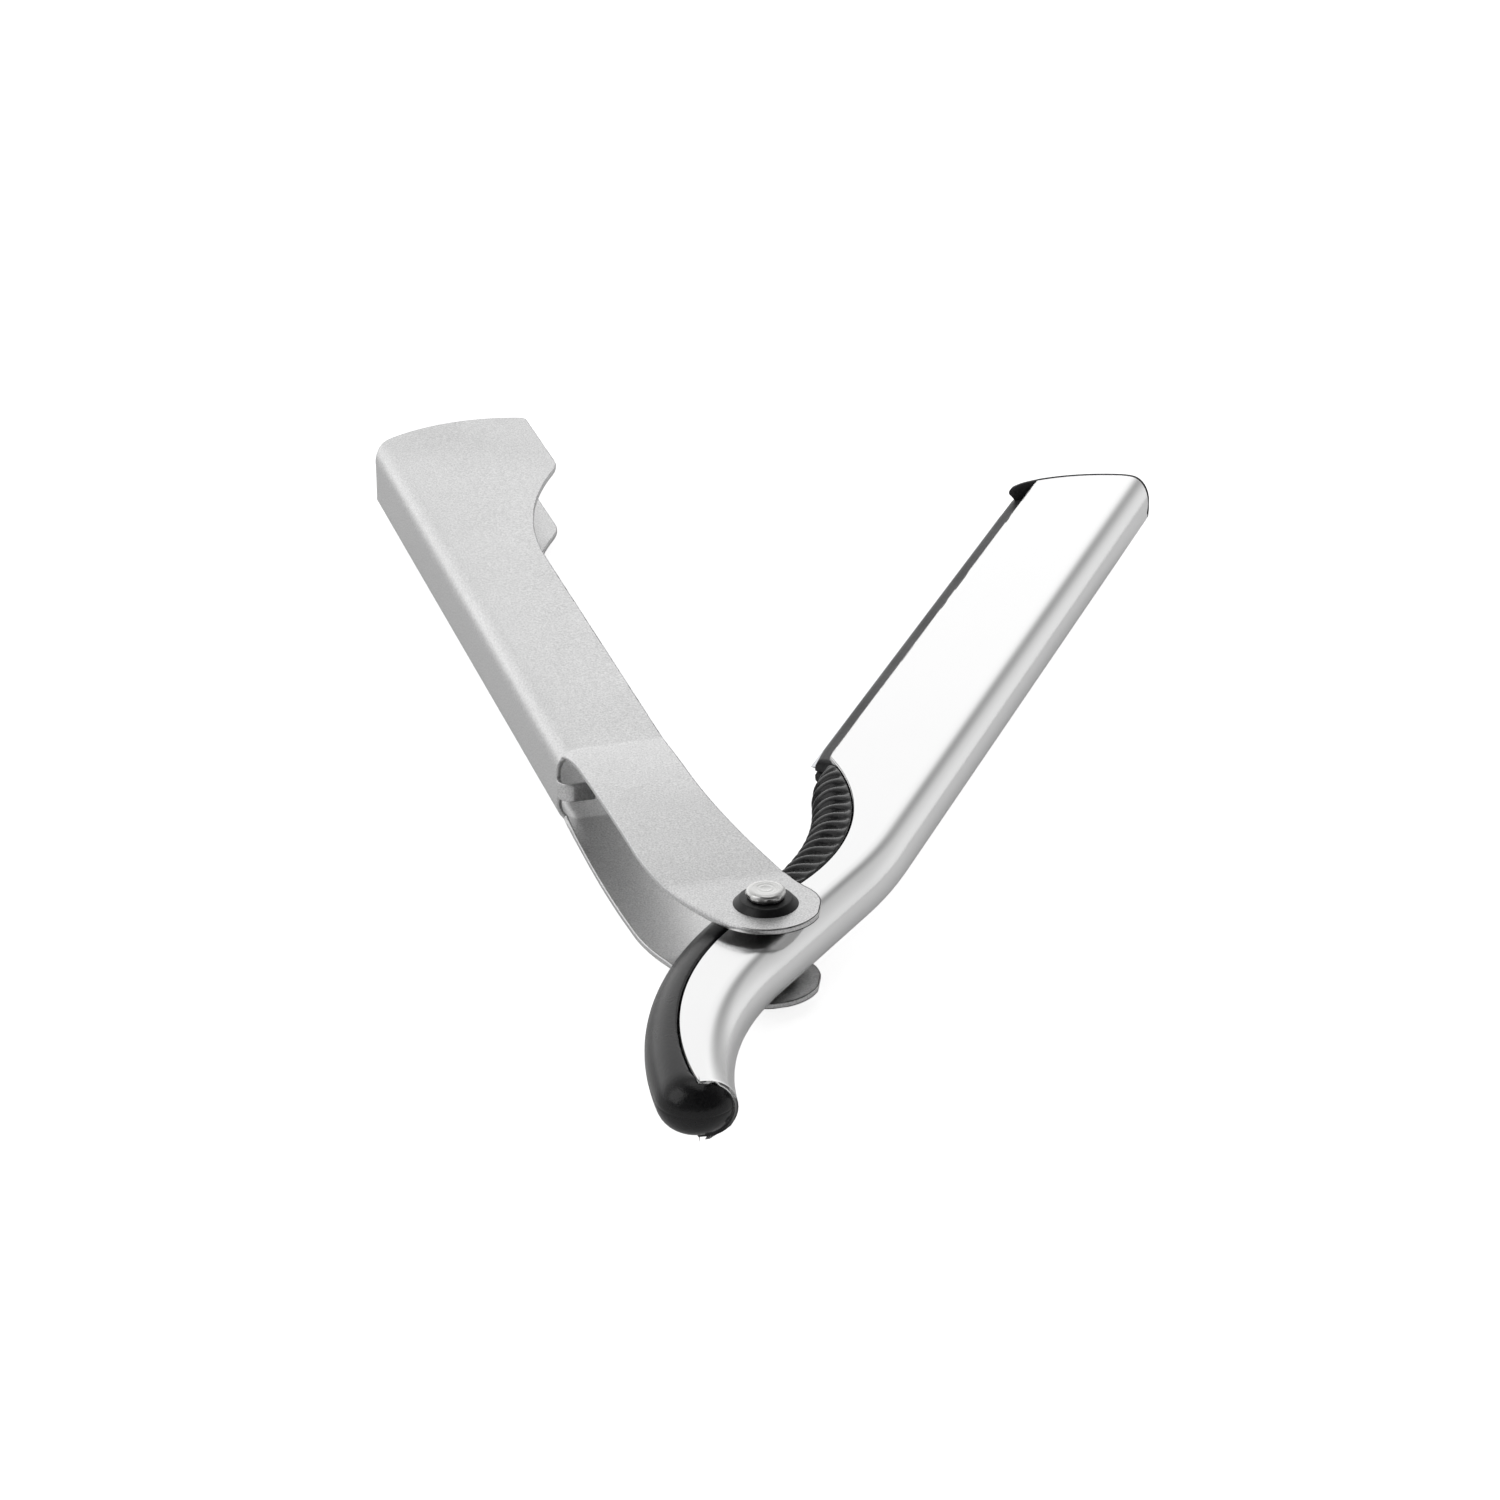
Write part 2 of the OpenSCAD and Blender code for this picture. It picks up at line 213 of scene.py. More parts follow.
grainGroup.links.new(coarseNoise, blend.inputs[3])
grainGroup.links.new(blend.outputs[0], gOut.inputs["Height"])
centred = mathNode(grainGroup, 'SUBTRACT', fineNoise, 0.5)
speckle = mathNode(grainGroup, 'MULTIPLY_ADD', centred, 2.2, 0.5, clamp=True)
grainGroup.links.new(speckle, gOut.inputs["Speckle"])

# long hairline polishing marks along one direction, and faint wiped smudges
polishGroup, pIn, pOut = newGroup("polishMarks", [
    ("Vector", 'NodeSocketVector', None), ("Turn", 'NodeSocketFloat', 0.0),
    ("Hair Scale", 'NodeSocketFloat', 5000.0), ("Smudge Scale", 'NodeSocketFloat', 60.0)],
    [("Hairlines", 'NodeSocketFloat'), ("Smudges", 'NodeSocketFloat')])
turnNode = polishGroup.nodes.new('ShaderNodeVectorRotate')
turnNode.rotation_type = 'Z_AXIS'
polishGroup.links.new(pIn.outputs["Vector"], turnNode.inputs['Vector'])
polishGroup.links.new(pIn.outputs["Turn"], turnNode.inputs['Angle'])
stretchNode = polishGroup.nodes.new('ShaderNodeVectorMath')
stretchNode.operation = 'MULTIPLY'
stretchNode.inputs[1].default_value = (1.0, 0.02, 1.0)
polishGroup.links.new(turnNode.outputs[0], stretchNode.inputs[0])
polishGroup.links.new(noiseNode(polishGroup, stretchNode.outputs[0], pIn.outputs["Hair Scale"], 3.0, 0.6),
                      pOut.inputs["Hairlines"])
polishGroup.links.new(noiseNode(polishGroup, pIn.outputs["Vector"], pIn.outputs["Smudge Scale"], 5.0, 0.6),
                      pOut.inputs["Smudges"])


def startMaterial(name):
    mat = bpy.data.materials.new(name)
    mat.use_nodes = True
    tree = mat.node_tree
    shader = tree.nodes["Principled BSDF"]
    place = tree.nodes.new('ShaderNodeTexCoord').outputs['Object']
    return mat, tree, shader, place


def useGroup(tree, group, place, values):
    n = tree.nodes.new('ShaderNodeGroup')
    n.node_tree = group
    tree.links.new(place, n.inputs["Vector"])
    for label, value in values.items():
        n.inputs[label].default_value = value
    return n


def mapTo(tree, value, lo, hi):
    n = tree.nodes.new('ShaderNodeMapRange')
    n.inputs['From Min'].default_value = 0.3
    n.inputs['From Max'].default_value = 0.7
    n.inputs['To Min'].default_value = lo
    n.inputs['To Max'].default_value = hi
    tree.links.new(value, n.inputs['Value'])
    return n.outputs[0]


def tint(tree, value, dark, light):
    n = tree.nodes.new('ShaderNodeMix')
    n.data_type = 'RGBA'
    tree.links.new(value, n.inputs[0])
    n.inputs[6].default_value = (*dark, 1)
    n.inputs[7].default_value = (*light, 1)
    return n.outputs[2]


def bumpFrom(tree, height, strength, distance, after=None):
    n = tree.nodes.new('ShaderNodeBump')
    n.inputs['Strength'].default_value = strength
    n.inputs['Distance'].default_value = distance
    tree.links.new(height, n.inputs['Height'])
    if after is not None:
        tree.links.new(after, n.inputs['Normal'])
    return n.outputs[0]


handleFinish = {"dark": (0.52, 0.52, 0.52), "light": (0.84, 0.84, 0.84),
                "roughLow": 0.3, "roughHigh": 0.42, "grainScale": 6500.0, "bump": 0.3}


def blastedSteel():
    mat, tree, shader, place = startMaterial("blastedSteel")
    grain = useGroup(tree, grainGroup, place, {"Scale": handleFinish["grainScale"], "Coarse Scale": 220.0,
                                               "Coarse Share": 0.15})
    marks = useGroup(tree, polishGroup, place, {"Turn": 0.1, "Hair Scale": 2600.0, "Smudge Scale": 45.0})
    tree.links.new(tint(tree, grain.outputs["Speckle"], handleFinish["dark"], handleFinish["light"]),
                   shader.inputs['Base Color'])
    tree.links.new(mapTo(tree, marks.outputs["Smudges"], handleFinish["roughLow"], handleFinish["roughHigh"]),
                   shader.inputs['Roughness'])
    tree.links.new(bumpFrom(tree, grain.outputs["Height"], handleFinish["bump"], 0.00006),
                   shader.inputs['Normal'])
    shader.inputs['Metallic'].default_value = 1.0
    return mat


shellFinish = {"dark": (0.9, 0.9, 0.9), "light": (0.96, 0.96, 0.96), "roughLow": 0.15, "roughHigh": 0.22,
               "hairScale": 7000.0, "bump": 0.035}


def mirrorSteel():
    mat, tree, shader, place = startMaterial("mirrorSteel")
    marks = useGroup(tree, polishGroup, place, {"Turn": radians(openAngle), "Smudge Scale": 70.0,
                                                "Hair Scale": shellFinish["hairScale"]})
    tree.links.new(tint(tree, marks.outputs["Smudges"], shellFinish["dark"], shellFinish["light"]),
                   shader.inputs['Base Color'])
    tree.links.new(mapTo(tree, marks.outputs["Smudges"], shellFinish["roughLow"], shellFinish["roughHigh"]),
                   shader.inputs['Roughness'])
    tree.links.new(bumpFrom(tree, marks.outputs["Hairlines"], shellFinish["bump"], 0.00003),
                   shader.inputs['Normal'])
    shader.inputs['Metallic'].default_value = 1.0
    return mat


def blackPlastic(name, dark, light, roughLow, roughHigh, grainScale, bump):
    mat, tree, shader, place = startMaterial(name)
    grain = useGroup(tree, grainGroup, place, {"Scale": grainScale, "Coarse Scale": 400.0,
                                               "Coarse Share": 0.35})
    marks = useGroup(tree, polishGroup, place, {"Turn": 0.4, "Hair Scale": 3000.0, "Smudge Scale": 120.0})
    tree.links.new(tint(tree, grain.outputs["Speckle"], dark, light), shader.inputs['Base Color'])
    tree.links.new(mapTo(tree, marks.outputs["Smudges"], roughLow, roughHigh), shader.inputs['Roughness'])
    tree.links.new(bumpFrom(tree, grain.outputs["Height"], bump, 0.00008), shader.inputs['Normal'])
    shader.inputs['Specular IOR Level'].default_value = 0.35
    return mat


def turnedSteel():
    mat, tree, shader, place = startMaterial("turnedSteel")
    grain = useGroup(tree, grainGroup, place, {"Scale": 2600.0, "Coarse Scale": 900.0, "Coarse Share": 0.5})
    marks = useGroup(tree, polishGroup, place, {"Turn": 0.2, "Hair Scale": 4000.0, "Smudge Scale": 500.0})
    rings = tree.nodes.new('ShaderNodeTexWave')
    rings.wave_type = 'RINGS'
    rings.rings_direction = 'Z'
    rings.inputs['Scale'].default_value = 900.0
    rings.inputs['Distortion'].default_value = 0.6
    tree.links.new(place, rings.inputs['Vector'])
    tree.links.new(tint(tree, marks.outputs["Smudges"], (0.55, 0.55, 0.54), (0.86, 0.86, 0.85)),
                   shader.inputs['Base Color'])
    tree.links.new(mapTo(tree, marks.outputs["Smudges"], 0.2, 0.38), shader.inputs['Roughness'])
    ringBump = bumpFrom(tree, rings.outputs['Fac'], 0.25, 0.00003)
    tree.links.new(bumpFrom(tree, grain.outputs["Height"], 0.3, 0.00008, ringBump), shader.inputs['Normal'])
    shader.inputs['Metallic'].default_value = 1.0
    return mat


def honedSteel():
    mat, tree, shader, place = startMaterial("honedSteel")
    marks = useGroup(tree, polishGroup, place, {"Turn": radians(openAngle + 90), "Hair Scale": 9000.0,
                                                "Smudge Scale": 200.0})
    tree.links.new(tint(tree, marks.outputs["Hairlines"], (0.5, 0.51, 0.53), (0.78, 0.79, 0.81)),
                   shader.inputs['Base Color'])
    tree.links.new(mapTo(tree, marks.outputs["Smudges"], 0.2, 0.32), shader.inputs['Roughness'])
    tree.links.new(bumpFrom(tree, marks.outputs["Hairlines"], 0.12, 0.00003), shader.inputs['Normal'])
    shader.inputs['Metallic'].default_value = 1.0
    return mat


handleSteel = blastedSteel()
shellSteel = mirrorSteel()
rivetSteel = turnedSteel()
bladeSteel = honedSteel()
coreBlack = blackPlastic("coreBlack", (0.006, 0.006, 0.0065), (0.016, 0.016, 0.017), 0.19, 0.3, 4200.0, 0.3)
washerBlack = blackPlastic("washerBlack", (0.006, 0.006, 0.0065), (0.014, 0.014, 0.015), 0.28, 0.4, 5000.0, 0.2)
holderGrey = blackPlastic("holderGrey", (0.035, 0.035, 0.037), (0.07, 0.07, 0.073), 0.35, 0.5, 3800.0, 0.3)
print("materials ready")

# handle: one folded sheet with two leaves and a tongue

handleSize = {"sheet": 0.5, "halfThick": 3.2, "back": 9.05, "foldRadius": 1.6, "splay": 0.4,
              "shankEdge": 0.3, "headEdge": 7.2, "notchRadius": 40.0, "notchStart": 76.0,
              "tailCentre": (1.3, 97.2), "tailRadius": 16.2, "tailCorner": 2.0, "headCorner": 0.9,
              "bend": 33.3, "bow": 0.72, "flatEnd": 5.0, "endCentre": (-0.1, -0.05), "endRadius": 4.75,
              "edgeRound": 0.1, "tongueReach": 2.75, "tongueBend": 0.9, "leafBack": 8.65,
              "outerArc": (23.7, 13, 32.0), "innerArc": (72.3, 24.9, 72.0), "waist": 0.35}


def handleEdge(y):
    h = handleSize
    if y < h["notchStart"]:
        return h["shankEdge"]
    rise = h["shankEdge"] + h["notchRadius"] - sqrt(max(h["notchRadius"] ** 2 - (y - h["notchStart"]) ** 2, 0))
    return softMin(rise, h["headEdge"], 0.9)


def handleTail(x):
    h = handleSize
    cx, cy = h["tailCentre"]
    for corner, edgeX, side in ((h["tailCorner"], -h["back"], 1), (h["headCorner"], h["headEdge"], -1)):
        px = edgeX + side * corner
        py = cy + sqrt((h["tailRadius"] - corner) ** 2 - (px - cx) ** 2)
        touch = cx + (px - cx) * h["tailRadius"] / (h["tailRadius"] - corner)
        if (x - touch) * side < 0:
            return py + sqrt(max(corner ** 2 - (x - px) ** 2, 0))
    return cy + sqrt(h["tailRadius"] ** 2 - (x - cx) ** 2)


def leafLeft(y):
    cx, cy = handleSize["endCentre"]
    ax, ay, radius = handleSize["outerArc"]
    if y > ay:
        bend = handleSize["bend"]
        return -handleSize["leafBack"] + handleSize["waist"] * ((bend - y) / (bend - ay)) ** 2
    arc = ax - sqrt(radius ** 2 - (y - ay) ** 2)
    # the long arc eases into the round end
    mix = min(max((-1.2 - y) / 2.4, 0), 1)
    rounded = cx - sqrt(max(handleSize["endRadius"] ** 2 - (y - cy) ** 2, 0))
    return lerp(arc, rounded, mix * mix * (3 - 2 * mix)) if mix > 0 else arc


def leafRight(y):
    cx, cy = handleSize["endCentre"]
    ax, ay, radius = handleSize["innerArc"]
    if y > ay:
        return handleSize["shankEdge"]
    arc = ax - sqrt(radius ** 2 - (y - ay) ** 2)
    mix = min(max((y - 0.6) / 2.2, 0), 1)
    rounded = cx + sqrt(max(handleSize["endRadius"] ** 2 - (y - cy) ** 2, 0))
    return lerp(rounded, arc, mix * mix * (3 - 2 * mix)) if mix < 1 else arc


def buildHandle():
    h = handleSize
    foldAngles = [170, 160, 149, 138.6, 129, 119, 109, 100, 92]
    across = [0.04, 0.09, 0.15, 0.22, 0.3, 0.38, 0.46, 0.54, 0.62, 0.7, 0.77, 0.83, 0.88, 0.92, 0.95,
              0.97, 0.983, 0.992, 0.997, 1.0]
    foldX = h["foldRadius"] - h["back"]
    foldZ = h["halfThick"] - h["foldRadius"]
    upper = [("spine", 0.3), ("spine", 0.85), ("spine", 1.35)] + [("fold", a) for a in [180] + foldAngles]
    upper += [("wall", f) for f in across]
    leafFrom = upper.index(("fold", 138.6))
    tongueRows = 2
    bowMiddle, bowHalf = (h["bend"] + h["flatEnd"]) / 2, (h["bend"] - h["flatEnd"]) / 2

    def section(row, y):
        kind, value = row
        if kind == "spine":
            return -h["back"], value
        if kind == "fold":
            return foldX + h["foldRadius"] * cos(radians(value)), foldZ + h["foldRadius"] * sin(radians(value))
        x = lerp(foldX, handleEdge(y), value)
        return x, h["halfThick"] + (x - foldX) * tan(radians(h["splay"]))

    rows = [(-1, r) for r in reversed(range(len(upper)))] + [(1, r) for r in range(len(upper))]
    # leaf stations run from the round end to the bend, channel stations from there to the tail
    leafY = []
    for k in range(15):
        a = radians(-90 + 4 + k * 3.6)
        leafY.append(h["endCentre"][1] + h["endRadius"] * sin(a))
    leafY += [-0.9, -0.2, 0.6, 1.4, 2.2, 3.0, 4.0, h["flatEnd"], 5.8]
    leafY += [5.8 + (31.6 - 5.8) * k / 22 for k in range(1, 23)] + [32.2, 32.7, 33.1]
    leafY = sorted(set(round(v, 4) for v in leafY))
    channelY = [h["bend"], 33.5, 33.8, 34.4, 35.5] + [37 + (75 - 37) * k / 26 for k in range(27)]
    channelY += [76 + (97 - 76) * k / 24 for k in range(25)] + [97.4, 97.8, 98.1, 98.4, 98.7, 99.0, 99.4, 100]
    tailSteps = [0.12, 0.25, 0.38, 0.5, 0.62, 0.74, 0.84, 0.91, 0.96, 0.985, 1.0]
    verts, at = [], {}

    def put(key, p):
        at[key] = len(verts)
        verts.append(p)

    for i, (side, r) in enumerate(rows):
        row = upper[r]
        for j, y in enumerate(channelY):
            x, z = section(row, y)
            put((i, len(leafY) + j), (x, y, side * z))
        for j, u in enumerate(tailSteps):
            x, z = section(row, 100)
            put((i, len(leafY) + len(channelY) + j), (x, lerp(100, handleTail(x), u), side * z))
        if r >= leafFrom:
            startX, startZ = section(row, h["bend"])
            q = (startX + h["leafBack"]) / (h["shankEdge"] + h["leafBack"])
            for j, y in enumerate(leafY):
                reach = (h["bend"] - y)
                swell = h["bow"] * max(0, 1 - ((y - bowMiddle) / bowHalf) ** 2) if y > h["flatEnd"] else 0
                ease = max(0, 1 - reach / 5.0) ** 2
                flat = h["halfThick"]
                z = flat + swell + (startZ - flat) * ease
                put((i, j), (lerp(leafLeft(y), leafRight(y), q), y, side * z))
    cols = len(leafY) + len(channelY) + len(tailSteps)
    faces = gridFaces(len(rows), cols, lambda i, j: at.get((i, j)))
    # tongue: the middle rows of the spine curl in towards the channel
    middle = [i for i, (side, r) in enumerate(rows) if r < tongueRows]
    path = []
    for k in range(1, 9):
        a = radians(180 + 90 * k / 8)
        path.append((-h["back"] + h["tongueBend"] + h["tongueBend"] * cos(a),
                     h["bend"] + h["tongueBend"] * sin(a)))
    lastX, lastY = path[-1]
    for k in range(1, 6):
        path.append((lastX + (h["tongueReach"] - h["tongueBend"]) * k / 5, lastY))
    for i in middle:
        side, r = rows[i]
        at[(i, -1)] = at[(i, len(leafY))]
        for k, (x, y) in enumerate(path):
            put((i, -2 - k), (x, y, side * upper[r][1]))
    for n in range(len(middle) - 1):
        for k in range(len(path)):
            a, b = middle[n], middle[n + 1]
            faces.append([at[(a, -2 - k)], at[(a, -1 - k)], at[(b, -1 - k)], at[(b, -2 - k)]])
    verts, faces = thicken(verts, faces, h["sheet"], h["edgeRound"])
    piece = makePiece("handle_sheet", verts, faces, "handle_body", handleSteel)
    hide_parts("handle")
    return piece


buildHandle()
print("handle built")

# rivet and outer washers

rivetSize = {"shank": 1.0, "head": 1.67, "headTop": 5.1, "headFoot": 4.27, "dish": 0.05}
washerSize = {"foot": 3.05, "top": 2.25, "base": 3.2, "rim": 0.2, "height": 1.07}


def buildRivet():
    r = rivetSize
    outer, top, foot = r["head"], r["headTop"], r["headFoot"]
    half = [(0.02, top - r["dish"]), (0.3, top - r["dish"]), (0.42, top - 0.02), (0.6, top - 0.012),
            (0.68, top - 0.03), (0.78, top - 0.008), (outer - 0.42, top)]
    for k in range(1, 9):
        a = radians(90 - k * 11.25)
        half.append((outer - 0.36 + 0.36 * cos(a), top - 0.34 + 0.34 * sin(a)))
    half += [(outer, foot + 0.34), (outer - 0.03, foot + 0.22), (outer - 0.1, foot + 0.1),
             (outer - 0.22, foot + 0.03), (outer - 0.4, foot), (r["shank"], foot - 0.02), (r["shank"], 2)]
    profile = half + [(x, -z) for x, z in reversed(half)]
    verts, faces = lathe(profile)
    # the formed heads are not perfectly round under their rims
    shaped = []
    for x, y, z in verts:
        a = atan2(y, x)
        rad = hypot(x, y)
        rough = 0.018 * sin(5 * a + 1) + 0.012 * sin(9 * a) + 0.01 * sin(17 * a + 2)
        grow = rough if (abs(z) < top - 0.3 and rad > r["shank"] + 0.1) else 0
        shaped.append((x * (1 + grow), y * (1 + grow), z))
    faces = [f[::-1] for f in faces]
    piece = makePiece("pivot_rivet_set", shaped, faces, "handle_body", rivetSteel)
    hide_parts("pivot_rivet")


def buildWasher(name, side):
    w = washerSize
    top = w["base"] + w["height"]
    foot, base, rimTop = w["foot"], w["base"], w["base"] + w["rim"]
    profile = [(1.02, base + 0.01), (foot - 0.05, base + 0.01), (foot - 0.01, base + 0.04),
               (foot, base + 0.09), (foot, rimTop - 0.03), (foot - 0.03, rimTop + 0.02),
               (foot - 0.09, rimTop + 0.08)]
    for k in range(1, 8):
        t = k / 8
        profile.append((lerp(foot - 0.09, w["top"] + 0.08, t), lerp(rimTop + 0.08, top - 0.1, t)))
    profile += [(w["top"] + 0.05, top - 0.07), (w["top"] - 0.01, top - 0.02), (w["top"] - 0.08, top),
                (1.3, top), (1.02, top)]
    verts, faces = lathe(profile)
    verts = [(x, y, side * z) for x, y, z in verts]
    faces = faces if side > 0 else [f[::-1] for f in faces]
    piece = makePiece(name + "_cone", verts, faces, "handle_body", washerBlack)
    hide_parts(name)


buildRivet()
buildWasher("upper_outer_washer", 1)
buildWasher("lower_outer_washer", -1)
print("pivot built")

# blade arm: courses of the spine and of the edges, in the arm's own plan

armPlan = {"half": 2.5, "sheet": 0.5, "spine": 6.92, "shoulderRadius": 50.0, "shoulderY": 18.5,
           "slopeAngle": 9.5644, "slopeLength": 16.1, "valleyRadius": 34.0,
           "wallEdge": -4.46, "arcsMeet": 3.9, "cutoutCentre": (-24.02, 13.97), "cutoutRadius": 25.93,
           "tangCentre": (29.61, -8.63), "tangRadius": 32.26, "lobe": 3.2,
           "toeCentre": (7.0, 87.4), "toeRadius": 16.6, "toeCorner": 3.0,
           "tailPoint": (3.66, -27.93), "tailAngle": 27.0, "tailLean": 1.0,
           "restCentre": (-34.01, 14.15), "restRadius": 31.77, "backCentre": (33.88, -7.39),
           "backRadius": 39.46, "bulbCentre": (3.15, -26.54), "bulbRadius": 3.24}
slopeRad = radians(armPlan["slopeAngle"])
shoulderCentre = (armPlan["spine"] - armPlan["shoulderRadius"], armPlan["shoulderY"])
slopeTop = (shoulderCentre[0] + armPlan["shoulderRadius"] * cos(slopeRad),
            shoulderCentre[1] - armPlan["shoulderRadius"] * sin(slopeRad))
slopeEnd = (slopeTop[0] - armPlan["slopeLength"] * sin(slopeRad),
            slopeTop[1] - armPlan["slopeLength"] * cos(slopeRad))
valleyCentre = (slopeEnd[0] + armPlan["valleyRadius"] * cos(slopeRad),
                slopeEnd[1] - armPlan["valleyRadius"] * sin(slopeRad))


def spineAt(s):
    # point on the spine and the direction into the arm; s is the length from the shoulder's start
    a = armPlan
    if s >= 0:
        return (a["spine"], a["shoulderY"] + s), (-1.0, 0.0)
    turn = -s / a["shoulderRadius"]
    if turn <= slopeRad:
        return ((shoulderCentre[0] + a["shoulderRadius"] * cos(turn),
                 shoulderCentre[1] - a["shoulderRadius"] * sin(turn)), (-cos(turn), sin(turn)))
    s += slopeRad * a["shoulderRadius"]
    if -s <= a["slopeLength"]:
        return ((slopeTop[0] + s * sin(slopeRad), slopeTop[1] + s * cos(slopeRad)),
                (-cos(slopeRad), sin(slopeRad)))
    s += a["slopeLength"]
    turn = pi - slopeRad - s / a["valleyRadius"]
    return ((valleyCentre[0] + a["valleyRadius"] * cos(turn), valleyCentre[1] + a["valleyRadius"] * sin(turn)),
            (cos(turn), sin(turn)))


def wallCovers(x, y, lobe=True):
    a = armPlan
    if lobe and hypot(x, y) < a["lobe"]:
        return True
    if y > a["arcsMeet"]:
        cx, cy = a["cutoutCentre"]
        return x > a["wallEdge"] and hypot(x - cx, y - cy) > a["cutoutRadius"]
    return hypot(x - a["tangCentre"][0], y - a["tangCentre"][1]) < a["tangRadius"]


def beyondTail(x, y):
    # true on the arm's side of the shell's tail end
    px, py = armPlan["tailPoint"]
    return y - py > (x - px) * tan(radians(armPlan["tailAngle"]))


def wallDepth(s):
    (px, py), (nx, ny) = spineAt(s)

    def inside(d):
        return wallCovers(px + nx * d, py + ny * d)
    d = 2.3
    while d < 16 and inside(d):
        d += 0.05
    return bisect(inside, d - 0.05, d)


def toeLimit(x, radius):
    a = armPlan
    px = a["spine"] - a["toeCorner"]
    cx, cy = a["toeCentre"]
    py = cy + sqrt((radius - a["toeCorner"]) ** 2 - (px - cx) ** 2)
    touch = cx + (px - cx) * radius / (radius - a["toeCorner"])
    if x > touch:
        return py + sqrt(max(a["toeCorner"] ** 2 - (x - px) ** 2, 0))
    return cy + sqrt(radius ** 2 - (x - cx) ** 2)


def buildShell():
    a = armPlan
    rounds = [-90 + 180 * k / 20 for k in range(21)]
    across = [0.05, 0.12, 0.22, 0.34, 0.46, 0.58, 0.7, 0.8, 0.88, 0.94, 0.975, 0.992, 1.0]
    rows = [("wall", -1, f) for f in reversed(across)] + [("round", 0, p) for p in rounds]
    rows += [("wall", 1, f) for f in across]
    depthAt = {}

    def place(row, s):
        kind, side, value = row
        (px, py), (nx, ny) = spineAt(s)
        if kind == "round":
            d = a["half"] * (1 - cos(radians(value)))
            z = a["half"] * sin(radians(value))
        else:
            key = round(s, 5)
            if key not in depthAt:
                depthAt[key] = wallDepth(s)
            d = lerp(a["half"], depthAt[key], value)
            z = side * a["half"]
        return px + nx * d, py + ny * d, z

    middleS = [-46 + 0.42 * k for k in range(int(46 / 0.42) + 31)]
    middleS += [13.2 + k * 2.2 for k in range(30)]
    middleS = [s for s in middleS if s < 78]
    tailSteps = [0.0, 0.12, 0.3, 0.5, 0.7, 0.86, 0.95]
    toeSteps = [0.2, 0.4, 0.6, 0.75, 0.86, 0.93, 0.97, 1.0]
    verts, at = [], {}
    cols = len(tailSteps) + len(middleS) + len(toeSteps)
    for i, row in enumerate(rows):
        def onArm(s, row=row):
            x, y, z = place(row, s)
            return beyondTail(x, y + a["tailLean"] * min(z, 0) / a["half"])
        sTail = bisect(onArm, middleS[0], -56)
        for j, u in enumerate(tailSteps):
            at[(i, j)] = len(verts)
            verts.append(place(row, lerp(sTail, middleS[0], u)))
        for j, s in enumerate(middleS):
            at[(i, len(tailSteps) + j)] = len(verts)
            verts.append(place(row, s))
        x, y, z = place(row, middleS[-1])
        for j, u in enumerate(toeSteps):
            at[(i, len(tailSteps) + len(middleS) + j)] = len(verts)
            verts.append((x, lerp(y, toeLimit(x, a["toeRadius"]), u), z))
    faces = gridFaces(len(rows), cols, lambda i, j: at.get((i, j)))
    verts, faces = thicken(verts, faces, a["sheet"], 0.09)
    piece = makePiece("shell_sheet", verts, faces, "blade_arm", shellSteel, arm=True)
    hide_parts("blade_shell")


buildShell()
print("shell built")

# core: ribbed finger rest, tang filling and tail bulb in one moulding

coreSize = {"gap": 0.16, "tuck": 0.9, "innerHalf": 1.93, "ribPitch": 1.72, "ribDepth": 0.75, "ribSlant": 0.24,
            "ribFrom": 6.6, "ribTo": 30.6, "frontEdge": 5.05, "lip": 0.1, "seam": 0.035}


def coreOutline():
    # (point, inward direction, length) from the front of the finger rest to the end of the bulb
    a = armPlan
    out = []
    for k in range(181):
        deg = lerp(32.9, -17.6, k / 180)
        x, y = onArc(a["restCentre"], a["restRadius"], deg)
        held = -softMin(-x, coreSize["frontEdge"], 0.9)
        lean = min(max((held - x) / 0.5, 0), 1)
        way = Vector((lerp(cos(radians(deg)), 1, lean), lerp(sin(radians(deg)), 0, lean))).normalized()
        out.append(((held, y), (way.x, way.y)))
    for k in range(1, 91):
        deg = lerp(162.4, 211.93, k / 90)
        out.append((onArc(a["backCentre"], a["backRadius"], deg), (-cos(radians(deg)), -sin(radians(deg)))))
    for k in range(1, 61):
        deg = lerp(211.93, 359.0, k / 60)
        out.append((onArc(a["bulbCentre"], a["bulbRadius"], deg), (-cos(radians(deg)), -sin(radians(deg)))))
    return out


